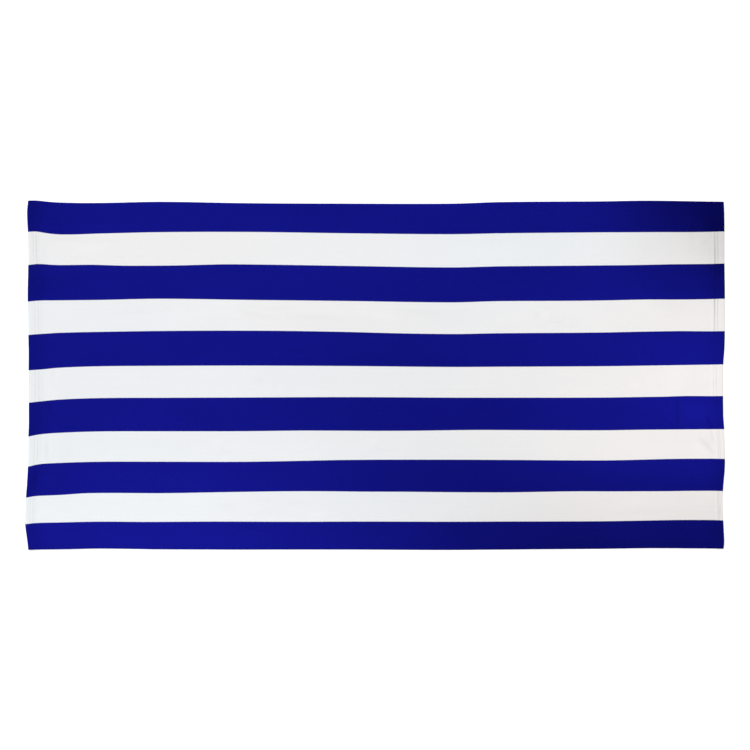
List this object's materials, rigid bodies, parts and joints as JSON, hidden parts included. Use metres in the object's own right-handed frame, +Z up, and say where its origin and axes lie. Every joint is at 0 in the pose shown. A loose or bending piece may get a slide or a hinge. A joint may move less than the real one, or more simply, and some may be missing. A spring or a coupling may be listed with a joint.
{
  "type": "beach towel",
  "caption": "Beach towel lying flat, a thin cloth with lengthwise stripes of blue and white and a turned, sewn hem at each short end.",
  "frame": {"origin": "centre of the towel's own box at its lowest, on the surface it lies on", "axes": "+X along the towel's length, +Y across it, +Z up out of its face"},
  "size_m": [1.5286, 0.7638, 0.0041],
  "materials": {
    "cloth": "smooth short cut pile, dyed in lengthwise stripes: royal blue and off-white by turns, with a blue stripe along both long edges"
  },
  "bodies": {
    "root": {"towel": "cloth"}
  },
  "joints": []
}
